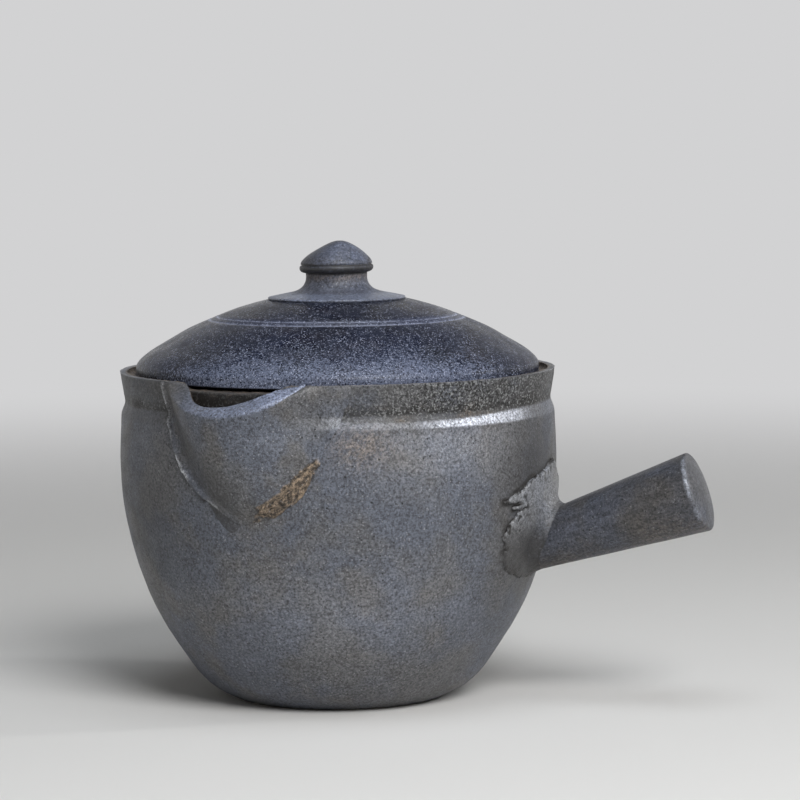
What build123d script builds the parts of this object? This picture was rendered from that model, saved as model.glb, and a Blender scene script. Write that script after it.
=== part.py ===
from build123d import *
import os
from math import cos, radians, sin, sqrt, tan

# A clay cooking pot with a stub handle, a beak spout and a loose domed lid.
# Millimetres. The origin is the centre of the foot, +Z is up and the handle points along +X.

os.makedirs("parts", exist_ok=True)

# Pot, a shell thrown on the wheel; drops are measured down from the rim, insets in from the belly
pot_height = 143.0
rim_radius = 95.0
rim_wall = 4.0
rim_round = 0.8
neck_inset = 2.6
neck_drop = 13.5
neck_wall = 4.6
shoulder_inset = 0.8
shoulder_drop = 18.2
belly_radius = 95.3
belly_drop = 36.0
pot_wall = 5.0
foot_radius = 47.0
floor_thickness = 6.0
# Out from foot to belly, and up from foot to belly
bowl_shares = [(0.215, 0.056), (0.455, 0.187), (0.70, 0.374), (0.87, 0.58), (0.965, 0.766)]

# Ledge inside the collar, which the lid rests on
ledge_drop = 2.5
ledge_thickness = 3.5
ledge_bearing = 4.5

# Lid
lid_clearance = 3.2
lid_edge = 5.0
lid_edge_round = 0.8
lid_edge_width = 6.3
lid_rise = 32.5
lid_wall = 5.0
# In from edge to knob foot, and up from edge to knob foot
dome_shares = [(0.05, 0.11), (0.20, 0.32), (0.38, 0.535), (0.57, 0.71), (0.76, 0.86)]
groove_radius = 48.6
groove_spacing = 2.4
groove_width = 1.2
groove_depth = 0.6

# Knob; heights are measured up from its foot
knob_foot_radius = 30.0
knob_foot_edge = 0.9
knob_stem_radius = 18.6
knob_stem_height = 3.2
knob_waist_radius = 13.4
knob_waist_height = 8.8
knob_ring_radius = 16.2
knob_ring_height = 13.6
knob_ring_face = 1.3
knob_line_height = 15.7
knob_line_depth = 1.0
knob_cap_radius = 15.5
knob_cap_height = 16.3
knob_cap_bulge = 1.2
knob_height = 25.3
knob_tip_radius = 1.6

# Handle, a cone that rises away from the wall and widens to a domed end
handle_drop = 38.42
handle_rise = 18.8
handle_length = 74.13
handle_sunk = 9.27
handle_root_radius = 11.72
handle_end_radius = 17.65
handle_end_crown = 2.0
handle_end_round = 1.6

# Clay pressed round the handle's root, thin and wide on the wall and higher above than below
handle_luting_spread = 31.0
handle_luting_rise = 34.0
handle_luting_buried = 0.5
handle_luting_reach = 10.48
handle_luting_edge = 0.5
# Out from inside the wall to the end, and what is left there of the spread and of the rise
handle_luting_shares = [
    (0.0, 1.0, 1.0),
    (0.458, 0.60, 0.85),
    (0.65, 0.31, 0.68),
    (0.761, 0.12, 0.20),
    (0.871, 0.04, 0.06),
    (1.0, 0.0, 0.0),
]

# Spout, half a cone on the wall, cut off by a sloping lip
spout_bearing = -100.5
spout_reach = 12.7
spout_tip_drop = 12.2
spout_tip_radius = 31.2
spout_wall = 6.0
spout_foot_drop = 57.7
spout_sunk = 14.3
lip_slope = 32.0
# Behind the spout the wall has a window for what is poured, and above it a sill just under the lid
spout_window_inset = 2.5
spout_sill_clearance = 1.0

# Clay pressed into the seam of the spout, a wide lens that thins out on the wall
spout_luting_bearing = -98.0
spout_luting_axis = 31.0
spout_luting_thickness = 5.0
# What is left of the thickness at the rim, the shoulder, the belly and the two points below it
spout_luting_shares = [1.0, 0.896, 0.62, 0.17, -0.5]

neck_radius = belly_radius - neck_inset
neck_height = pot_height - neck_drop
shoulder_radius = belly_radius - shoulder_inset
shoulder_height = pot_height - shoulder_drop
belly_height = pot_height - belly_drop
ledge_height = pot_height - ledge_drop
window_height = neck_height - spout_window_inset
sill_height = ledge_height - spout_sill_clearance
collar_bore = rim_radius - rim_wall
lid_radius = collar_bore - lid_clearance
mouth_radius = lid_radius - ledge_bearing


def bowl_points(foot, foot_height, belly, shoulder):
    """The wall's points from the foot out to the belly and in to the shoulder."""
    rise = belly_height - foot_height
    points = [(foot, foot_height)]
    points += [(foot + out * (belly - foot), foot_height + up * rise) for out, up in bowl_shares]
    return points + [(belly, belly_height), (shoulder, shoulder_height)]


outer_bowl = bowl_points(foot_radius, 0, belly_radius, shoulder_radius)
outer_wall = outer_bowl + [(neck_radius, neck_height), (rim_radius, pot_height)]


def wall_radius(height):
    """The pot's outer radius at a height, read straight between the wall's points."""
    for (low_radius, low), (high_radius, high) in zip(outer_wall, outer_wall[1:]):
        if height <= high:
            return low_radius + (high_radius - low_radius) * (height - low) / (high - low)


def dome_curve(edge, edge_height, top, top_height):
    """The lid's curve from its edge up to the knob's foot."""
    points = [(edge, edge_height)]
    points += [(edge - run * (edge - top), edge_height + up * (top_height - edge_height))
               for run, up in dome_shares]
    points += [(top, top_height)]
    return Spline(*points)


# The pot as one solid lump, with its collar and groove
with BuildPart() as pot_lump:
    with BuildSketch(Plane.XZ) as lump_section:
        with BuildLine():
            Spline(*outer_bowl)
            Polyline(
                *outer_wall[-3:],
                (0, pot_height),
                (0, 0),
                (foot_radius, 0),
            )
        make_face()
        rim_corner = lump_section.vertices().group_by(Axis.Y)[-1].sort_by(Axis.X)[-1]
        fillet(rim_corner, radius=rim_round)
    revolve(axis=Axis.Z)

# The hollow inside, from the floor up to the rim
with BuildPart() as pot_hollow:
    with BuildSketch(Plane.XZ) as hollow_section:
        with BuildLine():
            Spline(*bowl_points(foot_radius - pot_wall, floor_thickness, belly_radius - pot_wall,
                                shoulder_radius - pot_wall))
            Polyline(
                (shoulder_radius - pot_wall, shoulder_height),
                (neck_radius - neck_wall, neck_height),
                (mouth_radius, ledge_height - ledge_thickness),
                (mouth_radius, ledge_height),
                (collar_bore, ledge_height),
                (collar_bore, pot_height),
                (0, pot_height),
                (0, floor_thickness),
                (foot_radius - pot_wall, floor_thickness),
            )
        make_face()
    revolve(axis=Axis.Z)

# The spout's cone has an upright axis, and its outer side runs from the tip down into the wall
spout_plane = Plane.XZ.rotated((0, 0, spout_bearing))
spout_out = Vector(cos(radians(spout_bearing)), sin(radians(spout_bearing)), 0)
spout_tip = belly_radius + spout_reach
spout_axis_radius = spout_tip - spout_tip_radius
spout_axis = Axis(spout_out * spout_axis_radius, (0, 0, 1))
tip_height = pot_height - spout_tip_drop
spout_foot = pot_height - spout_foot_drop
spout_flare = (spout_tip - wall_radius(spout_foot)) / (tip_height - spout_foot)


def spout_section(thinner):
    """Half of the cone's outline up to the rim's height, inset by a wall thickness."""
    low = spout_foot - spout_sunk + thinner
    Polyline(
        (spout_axis_radius, low),
        (spout_tip - thinner - (tip_height - low) * spout_flare, low),
        (spout_tip - thinner + spout_tip_drop * spout_flare, pot_height),
        (spout_axis_radius, pot_height),
        close=True,
    )


with BuildPart() as spout_cone:
    with BuildSketch(spout_plane):
        with BuildLine():
            spout_section(0)
        make_face()
    revolve(axis=spout_axis)

with BuildPart() as spout_channel:
    with BuildSketch(spout_plane):
        with BuildLine():
            spout_section(spout_wall)
        make_face()
    revolve(axis=spout_axis)

# Everything above the sloping lip; the slope runs down and out through the tip
lip_size = 2 * spout_tip
lip_plane = Plane(
    origin=spout_out * spout_tip + Vector(0, 0, tip_height),
    x_dir=(-spout_out.Y, spout_out.X, 0),
    z_dir=spout_out * sin(radians(lip_slope)) + Vector(0, 0, cos(radians(lip_slope))),
)
with BuildPart() as above_lip:
    with BuildSketch(lip_plane):
        Rectangle(lip_size, lip_size)
    extrude(amount=lip_size)

# What is cut from the wall: the channel's width, but not the sill
with BuildPart() as wall_cut:
    add(spout_channel.part)
    with BuildSketch(Plane.XY.offset(window_height)):
        Circle(spout_tip)
    extrude(amount=sill_height - window_height, mode=Mode.SUBTRACT)

with BuildPart() as pot_body:
    add(pot_lump.part)
    add(pot_hollow.part, mode=Mode.SUBTRACT)
    inner_rim = pot_body.edges().filter_by(GeomType.CIRCLE).group_by(Axis.Z)[-1].sort_by(SortBy.RADIUS)[0]
    fillet(inner_rim, radius=rim_round)
    add(wall_cut.part, mode=Mode.SUBTRACT)
pot_body.part.label = "pot_body"

with BuildPart() as spout:
    add(spout_cone.part)
    add(spout_channel.part, mode=Mode.SUBTRACT)
    add(pot_lump.part, mode=Mode.SUBTRACT)
    add(above_lip.part, mode=Mode.SUBTRACT)
spout.part.label = "spout"

lens_wall = [(rim_radius, pot_height)] + outer_bowl[::-1]
luting_dir = Vector(cos(radians(spout_luting_bearing)), sin(radians(spout_luting_bearing)), 0)
with BuildPart() as spout_luting:
    with BuildSketch(Plane.XZ.rotated((0, 0, spout_luting_bearing))):
        with BuildLine():
            lens_line = [
                (radius + left * spout_luting_thickness, height)
                for (radius, height), left in zip(lens_wall, spout_luting_shares)
            ]
            Spline(*lens_line)
            Polyline(
                lens_line[-1],
                (spout_luting_axis, lens_line[-1][1]),
                (spout_luting_axis, pot_height),
                lens_line[0],
            )
        make_face()
    revolve(axis=Axis(luting_dir * spout_luting_axis, (0, 0, 1)))
    add(pot_lump.part, mode=Mode.SUBTRACT)
    add(spout_cone.part, mode=Mode.SUBTRACT)
    add(above_lip.part, mode=Mode.SUBTRACT)
spout_luting.part.label = "spout_luting"

# Handle, turned round its own rising axis
handle_dir = Vector(cos(radians(handle_rise)), 0, sin(radians(handle_rise)))
handle_height = belly_height - handle_drop
handle_foot = Vector(wall_radius(handle_height), 0, handle_height)
handle_plane = Plane(origin=handle_foot, x_dir=handle_dir, z_dir=(0, -1, 0))
handle_taper = (handle_end_radius - handle_root_radius) / handle_length

with BuildPart() as handle:
    with BuildSketch(handle_plane) as handle_section:
        with BuildLine():
            Polyline(
                (handle_length + handle_end_crown, 0),
                (-handle_sunk, 0),
                (-handle_sunk, handle_root_radius - handle_sunk * handle_taper),
                (handle_length, handle_end_radius),
            )
            TangentArc(
                (handle_length + handle_end_crown, 0),
                (handle_length, handle_end_radius),
                tangent=(0, 1),
            )
        make_face()
        fillet(handle_section.vertices().sort_by(Axis.Y)[-1], radius=handle_end_round)
    revolve(axis=Axis(handle_foot, handle_dir))
    add(pot_lump.part, mode=Mode.SUBTRACT)
handle.part.label = "handle"

# The clay round the root, through ellipses that keep the handle's underside
luting_half_wide = handle_root_radius + handle_luting_edge + handle_luting_spread
luting_tip_radius = wall_radius(handle_height + handle_luting_rise / 2)
luting_back = sqrt(luting_tip_radius**2 - luting_half_wide**2) - handle_luting_buried
skirt = handle_foot.X - luting_back

with BuildPart() as handle_luting:
    for out, spread, rise in handle_luting_shares:
        beyond = out * (skirt + handle_luting_reach) - skirt
        along = beyond / cos(radians(handle_rise))
        half_wide = handle_root_radius + along * handle_taper + handle_luting_edge
        half_tall = half_wide / cos(radians(handle_rise))
        half_lift = rise * handle_luting_rise / 2
        middle = handle_foot + Vector(beyond, 0, beyond * tan(radians(handle_rise)) + half_lift)
        with BuildSketch(Plane(origin=middle, x_dir=(0, 1, 0), z_dir=(1, 0, 0))):
            Ellipse(half_wide + spread * handle_luting_spread, half_tall + half_lift)
    loft()
    add(pot_lump.part, mode=Mode.SUBTRACT)
    add(handle.part, mode=Mode.SUBTRACT)
handle_luting.part.label = "handle_luting"

# Lid, a dome with a flat ring under its edge, two grooves and a flat seat for the knob
dome_start = ledge_height + lid_edge
knob_seat = ledge_height + lid_rise
lid_inner_radius = lid_radius - lid_edge_width

with BuildPart() as lid:
    with BuildSketch(Plane.XZ) as lid_section:
        with BuildLine():
            dome = dome_curve(lid_radius, dome_start, knob_foot_radius, knob_seat)
            Polyline(
                (knob_foot_radius, knob_seat),
                (0, knob_seat),
                (0, knob_seat - lid_wall),
                (knob_foot_radius, knob_seat - lid_wall),
            )
            dome_curve(lid_inner_radius, dome_start, knob_foot_radius, knob_seat - lid_wall)
            Polyline(
                (lid_inner_radius, dome_start),
                (lid_inner_radius, ledge_height),
                (lid_radius, ledge_height),
                (lid_radius, dome_start),
            )
        make_face()
        fillet(lid_section.vertices().group_by(Axis.Y)[0], radius=lid_edge_round)
        # Each groove is a small round cut into the dome's outer curve
        for radius in (groove_radius, groove_radius + groove_spacing):
            crossing = dome.find_intersection_points(Axis((radius, 0, 0), (0, 1, 0)))[0]
            with Locations((radius, crossing.Y + groove_width / 2 - groove_depth)):
                Circle(groove_width / 2, mode=Mode.SUBTRACT)
    revolve(axis=Axis.Z)
lid.part.label = "lid"

# Knob, from its flat foot up through waist and ring to the pointed cap
with BuildPart() as lid_knob:
    with BuildSketch(Plane(origin=(0, 0, knob_seat), x_dir=(1, 0, 0), z_dir=(0, -1, 0))):
        with BuildLine():
            Polyline(
                (0, 0),
                (knob_foot_radius, 0),
                (knob_foot_radius, knob_foot_edge),
                (knob_stem_radius, knob_stem_height),
            )
            Spline(
                (knob_stem_radius, knob_stem_height),
                (knob_waist_radius, knob_waist_height),
                (knob_ring_radius, knob_ring_height),
                tangents=((knob_stem_radius - knob_foot_radius, knob_stem_height - knob_foot_edge), (0, 1)),
            )
            Polyline(
                (knob_ring_radius, knob_ring_height),
                (knob_ring_radius, knob_ring_height + knob_ring_face),
                (knob_ring_radius - knob_line_depth, knob_line_height),
                (knob_cap_radius, knob_cap_height),
            )
            SagittaArc(
                (knob_cap_radius, knob_cap_height),
                (knob_tip_radius, knob_height),
                sagitta=-knob_cap_bulge,
            )
            Polyline((knob_tip_radius, knob_height), (0, knob_height), (0, 0))
        make_face()
    revolve(axis=Axis.Z)
lid_knob.part.label = "lid_knob"

for piece in (pot_body, spout, spout_luting, handle, handle_luting, lid, lid_knob):
    export_step(piece.part, f"parts/{piece.part.label}.step")
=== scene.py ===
import itertools
import math

import bpy
import numpy as np
from mathutils import Matrix, Vector


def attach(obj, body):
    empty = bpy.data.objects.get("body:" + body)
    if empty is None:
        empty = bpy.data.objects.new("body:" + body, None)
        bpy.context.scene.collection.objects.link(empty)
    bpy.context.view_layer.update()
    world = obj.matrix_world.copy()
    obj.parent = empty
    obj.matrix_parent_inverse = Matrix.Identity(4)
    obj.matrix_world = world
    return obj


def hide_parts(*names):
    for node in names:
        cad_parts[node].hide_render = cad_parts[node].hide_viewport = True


# The looks of a clay cooking pot. Shapes are worked out in millimetres and stored in metres.

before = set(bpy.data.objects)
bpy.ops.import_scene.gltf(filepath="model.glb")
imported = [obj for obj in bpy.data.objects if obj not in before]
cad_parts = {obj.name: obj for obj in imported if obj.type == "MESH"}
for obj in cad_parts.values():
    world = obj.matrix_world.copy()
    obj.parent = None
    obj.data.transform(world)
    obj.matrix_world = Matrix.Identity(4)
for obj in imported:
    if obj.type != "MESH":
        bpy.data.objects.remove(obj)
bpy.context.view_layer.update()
MM = 0.001

# Pot
POT_HEIGHT, RIM_RADIUS, RIM_BORE, MOUTH_RADIUS = 143.0, 95.0, 91.0, 83.3
BELLY_RADIUS, BELLY_HEIGHT, FOOT_RADIUS, FLOOR, WALL = 95.3, 107.0, 47.0, 6.0, 5.0
SHOULDER, NECK = (94.5, 124.8), (92.7, 129.5)
NECK_WALL, LEDGE_HEIGHT, LEDGE_THICKNESS = 4.6, 140.5, 3.5
BOWL_SHARES = [(0.215, 0.056), (0.455, 0.187), (0.70, 0.374), (0.87, 0.58), (0.965, 0.766)]

# Spout
SPOUT_BEARING, SPOUT_AXIS, TIP_RADIUS, TIP_HEIGHT = -100.5, 76.8, 31.2, 130.8
SPOUT_FLARE, LIP_SLOPE, WINDOW_HEIGHT, SILL_HEIGHT = 0.3057, 32.0, 127.0, 139.5

# Handle
HANDLE_FOOT, HANDLE_RISE, HANDLE_LENGTH = (90.52, 0.0, 68.58), 18.8, 74.13
HANDLE_ROOT, HANDLE_END, HANDLE_CROWN, HANDLE_SUNK = 11.72, 17.65, 2.0, 2.2
# Rounding of the handle's end: how far it takes off the length and off the radius
END_ROUND, END_CUT = 1.5, 1.6

# Lid and knob
LID_RADIUS, LID_INNER, LID_EDGE, KNOB_SEAT, LID_WALL = 87.8, 81.5, 145.5, 173.0, 5.0
DOME_SHARES = [(0.05, 0.11), (0.20, 0.32), (0.38, 0.535), (0.57, 0.71), (0.76, 0.86)]
KNOB_FOOT, GROOVES, GROOVE_WIDTH, GROOVE_DEPTH, GROOVE_REACH = 30.0, (52.0, 55.2), 1.4, 0.6, 1.1

# Thinning of a line: points are kept a step apart, or after a turn in radians and a short run
DENSE_STEP, LEAST_TURN, LEAST_RUN = 0.1, 0.12, 0.15


# ---- Numbers: noise, curves, outlines ----

def noise(points, size, seed):
    """Smooth random values from -1 to 1 at points, in lumps of about a size."""
    q = np.asarray(points, float) / size
    base = np.floor(q).astype(np.int64)
    part = q - base
    ease = part * part * (3 - 2 * part)
    total = np.zeros(len(q))
    for corner in itertools.product((0, 1), repeat=q.shape[1]):
        at = base + np.array(corner)
        key = np.full(len(q), seed * 668265263, np.int64)
        for axis, prime in zip(range(q.shape[1]), (73856093, 19349663, 83492791)):
            key ^= at[:, axis] * prime
        key = ((key ^ (key >> 13)) * 1274126177) & 0xFFFFFFFF
        value = ((key ^ (key >> 16)) & 0xFFFF) / 32767.5 - 1
        total += value * np.prod(np.where(corner, ease, 1 - ease), axis=1)
    return total


def smooth_step(low, high, value):
    t = np.clip((value - low) / (high - low), 0, 1)
    return t * t * (3 - 2 * t)


def smooth_min(a, b, k):
    """The smaller of two distances, with a fillet of about size k where they meet."""
    h = np.maximum(k - np.abs(a - b), 0) / k
    return np.minimum(a, b) - h * h * k / 4


def smooth_max(a, b, k):
    return -smooth_min(-a, -b, k)


def distances(line):
    """How far along a line each of its points lies."""
    return np.r_[0, np.cumsum(np.linalg.norm(np.diff(line, axis=0), axis=1))]


def curve(points, step=0.5):
    """Points of a smooth curve through the given ones, about a step apart."""
    p = np.array(points, float)
    at = distances(p)
    h, n = np.diff(at), len(at)
    rows, right = np.eye(n), np.zeros((n, 2))
    for i in range(1, n - 1):
        rows[i, i - 1:i + 2] = h[i - 1], 2 * (h[i - 1] + h[i]), h[i]
        right[i] = 6 * ((p[i + 1] - p[i]) / h[i] - (p[i] - p[i - 1]) / h[i - 1])
    bend = np.linalg.solve(rows, right)
    s = np.linspace(0, at[-1], int(at[-1] / step) + 2)
    k = np.clip(np.searchsorted(at, s, side="right") - 1, 0, n - 2)
    a, b = ((at[k + 1] - s) / h[k])[:, None], ((s - at[k]) / h[k])[:, None]
    bent = ((a**3 - a) * bend[k] + (b**3 - b) * bend[k + 1]) * h[k][:, None]**2 / 6
    return a * p[k] + b * p[k + 1] + bent


def outline(*parts):
    """A dense line through parts: an array is a curve, and (r, z, cut) a corner rounded off over cut."""
    points, cuts = [], []
    for part in parts:
        if isinstance(part, tuple):
            points.append(part[:2])
            cuts.append(part[2])
        else:
            points.extend(map(tuple, part))
            cuts.extend([0] * len(part))
    points = np.array(points, float)
    at = distances(points)
    where = lambda s: np.array([np.interp(s, at, points[:, 0]), np.interp(s, at, points[:, 1])])
    line, skip_to = [], -1.0
    corners = [i for i, cut in enumerate(cuts) if cut]
    for i, (point, s) in enumerate(zip(points, at)):
        if i in corners:
            first, last = where(s - cuts[i]), where(s + cuts[i])
            for t in np.linspace(0, 1, 7):
                line.append((1 - t)**2 * first + 2 * t * (1 - t) * point + t**2 * last)
            skip_to = s + cuts[i]
        elif s > skip_to and not any(0 < at[c] - s <= cuts[c] for c in corners):
            line.append(point)
    return np.array(line)


def spaced(line, step):
    """The same line with its long stretches divided, and points that hardly matter left out."""
    dense = [line[0]]
    for a, b in zip(line, line[1:]):
        count = max(1, int(np.linalg.norm(b - a) / DENSE_STEP))
        dense.extend(a + (b - a) * k / count for k in range(1, count + 1))
    dense = np.array(dense)
    away = np.diff(dense, axis=0)
    length = np.linalg.norm(away, axis=1)
    heading = np.unwrap(np.arctan2(away[:, 1], away[:, 0]))
    kept, run, start = [dense[0]], 0.0, heading[0]
    for i in range(1, len(dense) - 1):
        run += length[i - 1]
        if run >= step or (abs(heading[i] - start) > LEAST_TURN and run > LEAST_RUN):
            kept.append(dense[i])
            run, start = 0.0, heading[i]
    kept.append(dense[-1])
    return np.array(kept)


def outline_distance(points, line):
    """Distance from points in a plane to a closed line, negative inside it."""
    best, inside = np.full(len(points), np.inf), np.zeros(len(points), bool)
    for a, b in zip(line, np.roll(line, -1, axis=0)):
        ab, ap = b - a, points - a
        if not ab.any():
            continue
        t = np.clip(ap @ ab / (ab @ ab), 0, 1)
        best = np.minimum(best, ((ap - t[:, None] * ab)**2).sum(1))
        if a[1] != b[1]:
            crosses = (a[1] > points[:, 1]) != (b[1] > points[:, 1])
            inside ^= crosses & (ap[:, 0] < ap[:, 1] / ab[1] * ab[0])
    return np.sqrt(best) * np.where(inside, -1, 1)


class Plan:
    """The distance to a closed line in a plane, read between the points of a grid."""

    def __init__(self, line, low, high, step=0.4):
        self.low, self.step = np.array(low, float), step
        counts = ((np.array(high) - self.low) / step).astype(int) + 1
        u, v = np.meshgrid(*(lo + step * np.arange(n) for lo, n in zip(self.low, counts)), indexing="ij")
        self.grid = outline_distance(np.c_[u.ravel(), v.ravel()], line).reshape(counts)

    def __call__(self, u, v):
        x = np.clip((u - self.low[0]) / self.step, 0, self.grid.shape[0] - 1.001)
        y = np.clip((v - self.low[1]) / self.step, 0, self.grid.shape[1] - 1.001)
        i, j = x.astype(int), y.astype(int)
        x, y, g = x - i, y - j, self.grid
        return ((1 - x) * (1 - y) * g[i, j] + x * (1 - y) * g[i + 1, j]
                + (1 - x) * y * g[i, j + 1] + x * y * g[i + 1, j + 1])


# ---- Meshes ----

def piece(name, points, faces, body, replaced, marks=None):
    """A smooth mesh object from points in millimetres; faces are quads, or triangles ending in -1."""
    mesh = bpy.data.meshes.new(name)
    faces = np.asarray(faces)
    sizes = np.where(faces[:, 3] < 0, 3, 4)
    loops = faces.ravel()[faces.ravel() >= 0]
    mesh.vertices.add(len(points))
    mesh.vertices.foreach_set("co", (np.asarray(points) * MM).ravel())
    mesh.loops.add(len(loops))
    mesh.loops.foreach_set("vertex_index", loops)
    mesh.polygons.add(len(faces))
    mesh.polygons.foreach_set("loop_start", np.r_[0, np.cumsum(sizes)[:-1]])
    mesh.polygons.foreach_set("use_smooth", np.ones(len(faces), bool))
    mesh.update(calc_edges=True)
    mesh.validate()
    for mark, values in (marks or {}).items():
        layer = mesh.attributes.new(mark, "FLOAT", "POINT")
        layer.data.foreach_set("value", np.asarray(values, np.float32))
    made = bpy.data.objects.new(name, mesh)
    bpy.context.scene.collection.objects.link(made)
    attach(made, body)
    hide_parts(replaced)
    return made


def ring_faces(rows, n, flip=False):
    """Faces over rings of n points, with one point before the first ring and one after the last."""
    at = 1 + np.arange(rows * n).reshape(rows, n)
    nxt = np.roll(at, -1, axis=1)
    none = np.full(n, -1)
    quads = np.stack([at[:-1], nxt[:-1], nxt[1:], at[1:]], axis=-1).reshape(-1, 4)
    low = np.c_[np.zeros(n, int), nxt[0], at[0], none]
    high = np.c_[np.full(n, rows * n + 1), at[-1], nxt[-1], none]
    if flip:
        quads, low, high = quads[:, [0, 3, 2, 1]], low[:, [0, 2, 1, 3]], high[:, [0, 2, 1, 3]]
    return np.vstack([quads, low, high])


def circle(count):
    """Angles spread evenly over a full turn."""
    return np.linspace(0, 2 * math.pi, count, endpoint=False)


def turned(line, angles):
    """Points and faces of a closed round form; the line runs from the axis to the axis."""
    rows, n = line[1:-1], len(angles)
    ring = np.stack([
        rows[:, 0:1] * np.cos(angles), rows[:, 0:1] * np.sin(angles),
        np.repeat(rows[:, 1:2], n, axis=1)], axis=-1).reshape(-1, 3)
    points = np.vstack([[0, 0, line[0, 1]], ring, [0, 0, line[-1, 1]]])
    return points, ring_faces(len(rows), n)


def turned_outward(line, angles, points):
    """The outward direction and the bearing in radians of each point of a turned form."""
    away = np.gradient(line, axis=0)
    out = np.c_[away[:, 1], -away[:, 0]]
    out = out / np.linalg.norm(out, axis=1)[:, None]
    out = np.vstack([out[:1], np.repeat(out[1:-1], len(angles), axis=0), out[-1:]])
    turn = np.arctan2(points[:, 1], points[:, 0])
    return np.c_[out[:, 0] * np.cos(turn), out[:, 0] * np.sin(turn), out[:, 1]], turn


def nets(grid, value, wrap=False):
    """The closed surface where a value on a grid of points is zero, as points and outward quads."""
    if wrap:
        grid, value = np.concatenate([grid, grid[:1]]), np.concatenate([value, value[:1]])
    size = np.array(value.shape)
    cells = size - 1
    inside = value < 0
    total, count = np.zeros((cells.prod(), 3)), np.zeros(cells.prod())
    crossings = []
    for axis in range(3):
        low = [slice(None)] * 3
        high = [slice(None)] * 3
        low[axis], high[axis] = slice(None, -1), slice(1, None)
        low, high = tuple(low), tuple(high)
        at = np.argwhere(inside[low] != inside[high])
        ends = at.copy()
        ends[:, axis] += 1
        a, b = value[tuple(at.T)], value[tuple(ends.T)]
        t = (a / (a - b))[:, None]
        spot = grid[tuple(at.T)] * (1 - t) + grid[tuple(ends.T)] * t
        others = [(axis + 1) % 3, (axis + 2) % 3]
        around = []
        for shift in ((-1, -1), (0, -1), (0, 0), (-1, 0)):
            cell = at.copy()
            cell[:, others] += shift
            if wrap and axis:
                cell[:, 0] %= cells[0]
            fine = ((cell >= 0) & (cell < cells)).all(1)
            index = np.where(fine, np.ravel_multi_index(np.clip(cell, 0, cells - 1).T, cells), -1)
            first = fine & ~((at[:, 0] == cells[0]) if wrap and axis else np.zeros(len(at), bool))
            for k in range(3):
                total[:, k] += np.bincount(index[first], spot[first, k], len(total))
            count += np.bincount(index[first], minlength=len(count))
            around.append(index)
        around = np.array(around).T
        keep = (around >= 0).all(1)
        if wrap and axis:
            keep &= at[:, 0] < cells[0]
        flip = ~(a < 0)
        around[flip] = around[flip][:, ::-1]
        crossings.append(around[keep])
    faces = np.vstack(crossings)
    used = np.unique(faces)
    renumber = np.full(len(total), -1)
    renumber[used] = np.arange(len(used))
    return total[used] / count[used][:, None], renumber[faces]


def slope(points, field, reach=0.25):
    """The field's direction of growth at points."""
    out = np.empty_like(points)
    for axis in range(3):
        step = np.zeros(3)
        step[axis] = reach
        out[:, axis] = (field(points + step) - field(points - step)) / (2 * reach)
    return out


def settled(points, field, rounds=3):
    """Points moved onto the surface where the field is zero."""
    for _ in range(rounds):
        grow = slope(points, field)
        move = field(points) / np.maximum((grow**2).sum(1), 0.2)
        points = points - grow * np.clip(move, -0.8, 0.8)[:, None]
    return points


def block(low, high, step, turn=0.0):
    """A regular grid of points in a box that is turned about the z axis."""
    axes = [np.arange(a, b + step, step) for a, b in zip(low, high)]
    x, y, z = np.meshgrid(*axes, indexing="ij")
    c, s = math.cos(math.radians(turn)), math.sin(math.radians(turn))
    return np.stack([c * x - s * y, s * x + c * y, z], axis=-1)


def surface(grid, field, wrap=False):
    """Points and faces of a field's zero surface over a grid."""
    value = field(grid.reshape(-1, 3)).reshape(grid.shape[:3])
    points, faces = nets(grid, value, wrap)
    return settled(points, field), faces


# ---- Fields: negative inside the clay ----

# Wall of the spout at bearings from its middle
LIP_WALLS = [
    (-120, 6), (-75, 8.2), (-58, 9.2), (-49, 8.8), (-40, 7.5), (-28, 6.4), (-14, 6.0), (4, 7.2), (24, 9.0),
    (42, 9.8), (59, 9.0), (80, 7.2), (120, 6)]


def bowl(foot, floor, belly, shoulder):
    rise = BELLY_HEIGHT - floor
    points = [(foot, floor)]
    points += [(foot + out * (belly - foot), floor + up * rise) for out, up in BOWL_SHARES]
    return curve(points + [(belly, BELLY_HEIGHT), shoulder])


AXIS_SIDE = -20.0
outer_line = outline(
    (AXIS_SIDE, 0, 0), (FOOT_RADIUS, 0, 1.6), bowl(FOOT_RADIUS, 0, BELLY_RADIUS, SHOULDER)[3:-2],
    (*SHOULDER, 1.0), (*NECK, 1.6), (RIM_RADIUS, POT_HEIGHT, 1.3))
inner_line = outline(
    (RIM_BORE, POT_HEIGHT, 1.2), (RIM_BORE, LEDGE_HEIGHT, 0.7), (MOUTH_RADIUS, LEDGE_HEIGHT, 0.8),
    (MOUTH_RADIUS, LEDGE_HEIGHT - LEDGE_THICKNESS, 1.2), (NECK[0] - NECK_WALL, NECK[1], 2.0),
    bowl(FOOT_RADIUS - WALL, FLOOR, BELLY_RADIUS - WALL, (SHOULDER[0] - WALL, SHOULDER[1]))[::-1][1:-3],
    (FOOT_RADIUS - WALL, FLOOR, 3.0), (AXIS_SIDE, FLOOR, 0))
shell = Plan(np.vstack([outer_line, inner_line]), (-5, -5), (112, 150))
lump = Plan(np.vstack([outer_line, [(AXIS_SIDE, POT_HEIGHT)]]), (-5, -5), (112, 150))


def radius_of(p):
    return np.hypot(p[:, 0], p[:, 1])


def wall(p):
    """Distance out from the pot's outside, as if the pot were filled."""
    return lump(radius_of(p), np.minimum(p[:, 2], POT_HEIGHT - 3.0))


spout_out = np.array([math.cos(math.radians(SPOUT_BEARING)), math.sin(math.radians(SPOUT_BEARING)), 0])
spout_side = np.array([-spout_out[1], spout_out[0], 0])


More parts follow.
